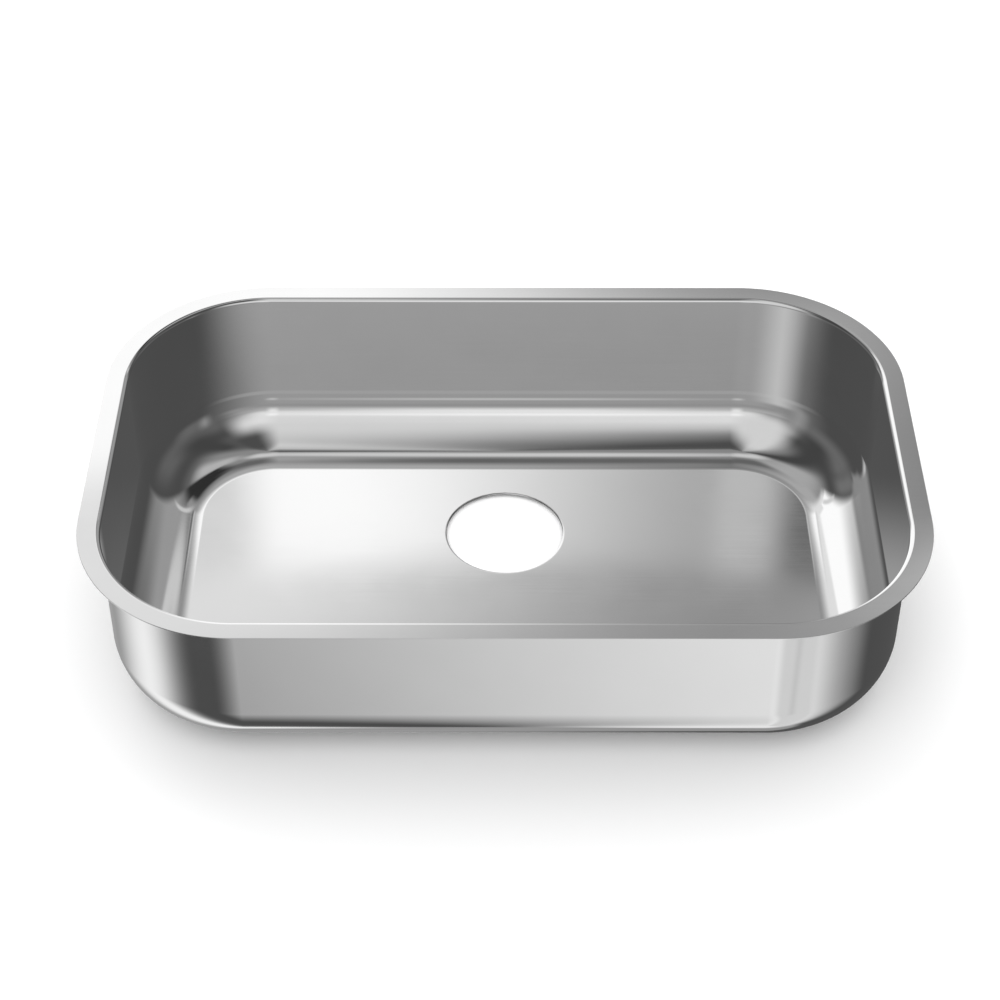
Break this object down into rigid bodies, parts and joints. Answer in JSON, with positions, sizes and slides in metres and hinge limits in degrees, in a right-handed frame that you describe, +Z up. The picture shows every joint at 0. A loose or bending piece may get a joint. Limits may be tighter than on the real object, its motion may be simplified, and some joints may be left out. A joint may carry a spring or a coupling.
{
  "type": "undermount kitchen sink",
  "caption": "Undermount kitchen sink, a drawn stainless-steel bowl with a narrow flat flange, large round corners, an open drain hole and sound-deadening pads under its floor.",
  "frame": {"origin": "on the surface that the sink is set down on, under the middle of the bowl", "axes": "+Z up, out of the bowl; +X along the bowl; +Y to the back, the side that the drain hole is nearer to"},
  "size_m": [0.585, 0.379, 0.1368],
  "materials": {
    "stainless_steel": "satin polished",
    "pad_rubber": "matte, die-cut"
  },
  "bodies": {
    "root": {"bowl": "stainless_steel", "pad_left": "pad_rubber", "pad_right": "pad_rubber", "pad_front": "pad_rubber"}
  },
  "joints": []
}
